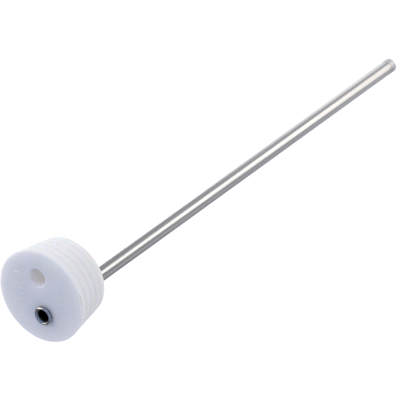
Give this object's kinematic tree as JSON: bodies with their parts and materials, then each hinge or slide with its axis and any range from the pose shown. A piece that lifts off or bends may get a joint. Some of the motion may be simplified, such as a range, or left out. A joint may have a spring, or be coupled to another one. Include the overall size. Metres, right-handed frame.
{
  "type": "stopper thermowell",
  "caption": "Tapered two-hole silicone stopper that carries a long closed steel tube, a dry pocket for a temperature probe in a fermenting vessel.",
  "frame": {"origin": "on the stopper's axis at its mid-height, where the neck of a vessel grips it", "axes": "+Z along the stopper's axis out of the vessel, through the large face; +X through both holes towards the airlock hole; the tube hangs along -Z at -X"},
  "size_m": [0.0498, 0.0498, 0.2939],
  "materials": {
    "silicone": "satin white food-grade silicone, moulded",
    "drawn_steel": "bright drawn stainless tube with fine lengthwise lines",
    "ground_steel": "stainless, ground and polished round the tip",
    "weld_steel": "stainless weld, ground flush"
  },
  "bodies": {
    "stopper": {"stopper": "silicone"},
    "thermowell": {"thermowell_tube": "drawn_steel", "end_plug": "ground_steel", "weld_bead": "weld_steel"}
  },
  "joints": [
    {"name": "thermowell_slide", "type": "slide", "parent": "stopper", "child": "thermowell", "axis": [0, 0, 1], "range_m": [0, 0.26]}
  ]
}
